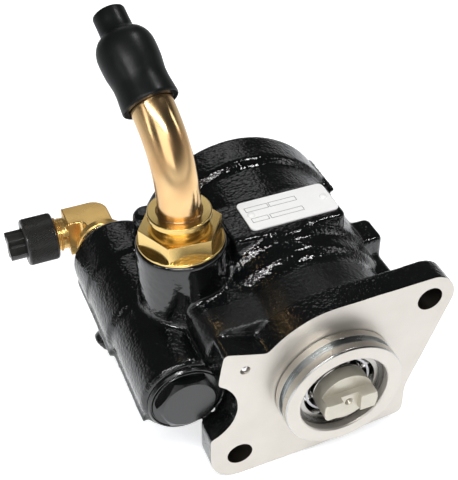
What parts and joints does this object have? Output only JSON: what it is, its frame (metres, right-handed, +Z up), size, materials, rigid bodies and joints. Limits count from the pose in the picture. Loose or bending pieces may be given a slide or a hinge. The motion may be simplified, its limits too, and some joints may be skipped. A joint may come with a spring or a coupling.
{
  "type": "power steering pump",
  "caption": "Flange-mounted vane steering pump: cast body, flow valve barrel, bent suction tube and pressure elbow with caps, slotted drive end",
  "frame": {"origin": "centre of the mounting pilot in the plane of the flange face, on the shaft axis", "axes": "-Y along the shaft towards the engine, +Z up towards the suction tube, +X to the right seen from the drive end"},
  "size_m": [0.1915, 0.1831, 0.2091],
  "materials": {
    "painted_casting": "gloss black paint on a rough casting, with machined faces left bright",
    "cover_casting": "phosphated and machined",
    "bearing_steel": "ground, oiled",
    "bright_steel": "polished",
    "dark_steel": "phosphated spring steel",
    "shaft_steel": "turned and hardened, light straw tint",
    "ground_steel": "ground",
    "black_steel": "gloss black",
    "bronze": "turned",
    "plate_metal": "printed white label face",
    "rivet_metal": "satin",
    "yellow_zinc": "yellow passivated zinc",
    "soft_metal": "satin",
    "seal_rubber": "matte",
    "cap_rubber": "satin moulded",
    "cap_plastic": "moulded"
  },
  "bodies": {
    "housing": {"pump_housing": "painted_casting", "gallery_ball_plug": "bright_steel", "bearing_outer_ring": "bearing_steel", "bearing_retaining_ring": "dark_steel", "shaft_seal": "seal_rubber", "plate_spring": "dark_steel", "front_pressure_plate": "ground_steel", "plate_seal": "seal_rubber", "cam_ring": "ground_steel", "dowel_pins": "bright_steel", "rear_side_plate": "ground_steel", "rear_cover": "cover_casting", "cover_seal": "seal_rubber", "cover_retaining_ring": "dark_steel", "rear_shaft_bush": "bronze", "valve_plug": "black_steel", "valve_plug_seal": "seal_rubber", "flow_spring": "dark_steel", "nameplate": "plate_metal", "nameplate_rivets": "rivet_metal", "suction_union_nut": "yellow_zinc", "suction_union_seal": "seal_rubber", "suction_tube": "yellow_zinc", "pressure_elbow": "yellow_zinc", "elbow_seal_washer": "soft_metal"},
    "shaft": {"drive_shaft": "shaft_steel", "bearing_inner_ring": "bearing_steel", "shaft_circlip": "dark_steel", "rotor": "ground_steel", "vanes": "bright_steel"},
    "ball_set": {"bearing_balls": "bright_steel", "bearing_cage": "dark_steel"},
    "spool": {"flow_spool": "ground_steel", "relief_spring": "dark_steel"},
    "relief": {"relief_ball": "bright_steel"},
    "tube_cap": {"suction_cap": "cap_rubber"},
    "port_cap": {"pressure_cap": "cap_plastic", "pressure_cap_plug": "cap_plastic"}
  },
  "joints": [
    {"name": "shaft_spin", "type": "hinge", "parent": "housing", "child": "shaft", "pos_m": [0, 0, 0], "axis": [0, 1, 0], "continuous": true},
    {"name": "ball_set_spin", "type": "hinge", "parent": "housing", "child": "ball_set", "pos_m": [0, 0, 0], "axis": [0, 1, 0], "continuous": true},
    {"name": "spool_slide", "type": "slide", "parent": "housing", "child": "spool", "axis": [0, -1, 0], "range_m": [0, 0.009], "stiffness_N_per_m": 4000, "springref_m": -0.004, "deforming": ["flow_spring"]},
    {"name": "relief_lift", "type": "slide", "parent": "spool", "child": "relief", "axis": [0, 1, 0], "range_m": [0, 0.0006], "stiffness_N_per_m": 100, "springref_m": -0.002, "deforming": ["relief_spring"]},
    {"name": "suction_cap_pull", "type": "slide", "parent": "housing", "child": "tube_cap", "axis": [-0.1252, 0.7993, 0.5878], "range_m": [0, 0.04]},
    {"name": "pressure_cap_pull", "type": "slide", "parent": "housing", "child": "port_cap", "axis": [-1, 0, 0], "range_m": [0, 0.025]}
  ],
  "couplings": [
    {"joint": "ball_set_spin", "follows": "shaft_spin", "ratio": 0.3815}
  ]
}
